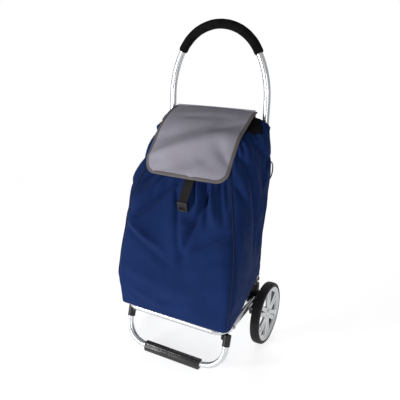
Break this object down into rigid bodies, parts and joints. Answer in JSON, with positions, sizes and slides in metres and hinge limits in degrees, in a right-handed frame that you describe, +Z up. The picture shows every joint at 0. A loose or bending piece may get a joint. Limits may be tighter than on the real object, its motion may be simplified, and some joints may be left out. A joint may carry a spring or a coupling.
{
  "type": "folding shopping trolley",
  "caption": "Folding shopping trolley with an arched tube handle, a tall fabric bag under a flap, two spoked wheels and a folding shelf and foot bow.",
  "frame": {"origin": "on the floor below the middle of the overall box", "axes": "+Z up along the legs, +Y to the back, where the wheels and the handle are, +X to the trolley's right-hand wheel as seen from the front"},
  "size_m": [0.424, 0.3474, 0.974],
  "materials": {
    "aluminium_tube": "satin anodised",
    "grip_foam": "matt closed-cell foam",
    "black_plastic": "moulded, fine texture",
    "link_metal": "black powder coat",
    "axle_steel": "zinc plated",
    "wheel_plastic": "silver painted",
    "tyre_rubber": "fine tread",
    "navy_fabric": "coated woven polyester",
    "collar_fabric": "thin gathered nylon",
    "piping_trim": "corded piping",
    "grey_fabric": "coated woven polyester",
    "binding_tape": "ribbed binding tape",
    "black_webbing": "woven webbing",
    "board": "stiff sheet",
    "loop_wire": "plastic-coated wire"
  },
  "bodies": {
    "frame": {"frame_tube": "aluminium_tube", "handle_grip": "grip_foam", "left_bracket": "black_plastic", "right_bracket": "black_plastic", "bracket_rivets": "axle_steel", "back_crossbar": "aluminium_tube", "crossbar_rivets": "axle_steel", "axle": "axle_steel", "axle_washers": "axle_steel", "push_nuts": "axle_steel", "shelf_pivot_bolts": "axle_steel", "link_rear_pins": "axle_steel", "bag_shell": "navy_fabric", "bag_collar": "collar_fabric", "base_board": "board", "left_piping": "piping_trim", "right_piping": "piping_trim", "left_tube_sleeve": "navy_fabric", "right_tube_sleeve": "navy_fabric", "left_hang_loop": "loop_wire", "right_hang_loop": "loop_wire", "left_loop_tab": "black_webbing", "right_loop_tab": "black_webbing", "strap_anchor": "black_webbing"},
    "shelf": {"shelf_tube": "aluminium_tube", "foot_pivot_bolts": "axle_steel"},
    "foot": {"foot_tube": "aluminium_tube", "left_foot_sleeve": "black_plastic", "right_foot_sleeve": "black_plastic", "foot_pad": "black_plastic", "link_front_pins": "axle_steel"},
    "links": {"left_link": "link_metal", "right_link": "link_metal"},
    "left_road_wheel": {"left_tyre": "tyre_rubber", "left_wheel": "wheel_plastic", "left_bushing": "black_plastic", "left_hub_cap": "wheel_plastic"},
    "right_road_wheel": {"right_tyre": "tyre_rubber", "right_wheel": "wheel_plastic", "right_bushing": "black_plastic", "right_hub_cap": "wheel_plastic"},
    "flap": {"flap": "grey_fabric", "flap_binding": "binding_tape", "flap_strap": "black_webbing", "strap_buckle": "black_plastic"}
  },
  "joints": [
    {"name": "shelf_fold", "type": "hinge", "parent": "frame", "child": "shelf", "pos_m": [0, 0.04574, 0.146], "axis": [-1, 0, 0], "range_deg": [0, 90], "deforming": ["bag_shell", "bag_collar", "base_board", "left_piping", "right_piping", "strap_anchor"]},
    {"name": "foot_fold", "type": "hinge", "parent": "shelf", "child": "foot", "pos_m": [0, -0.11026, 0.13352], "axis": [-1, 0, 0], "range_deg": [-90, 0]},
    {"name": "link_swing", "type": "hinge", "parent": "frame", "child": "links", "pos_m": [0, 0.04974, 0.124], "axis": [-1, 0, 0], "range_deg": [0, 90]},
    {"name": "left_wheel_spin", "type": "hinge", "parent": "frame", "child": "left_road_wheel", "pos_m": [-0.198, 0.07574, 0.098], "axis": [1, 0, 0], "continuous": true},
    {"name": "right_wheel_spin", "type": "hinge", "parent": "frame", "child": "right_road_wheel", "pos_m": [0.198, 0.07574, 0.098], "axis": [1, 0, 0], "continuous": true},
    {"name": "flap_open", "type": "hinge", "parent": "frame", "child": "flap", "pos_m": [0, 0.05974, 0.727], "axis": [-1, 0, 0], "range_deg": [0, 110]}
  ],
  "couplings": [
    {"joint": "foot_fold", "follows": "shelf_fold", "ratio": -1},
    {"joint": "link_swing", "follows": "shelf_fold", "ratio": 1}
  ]
}
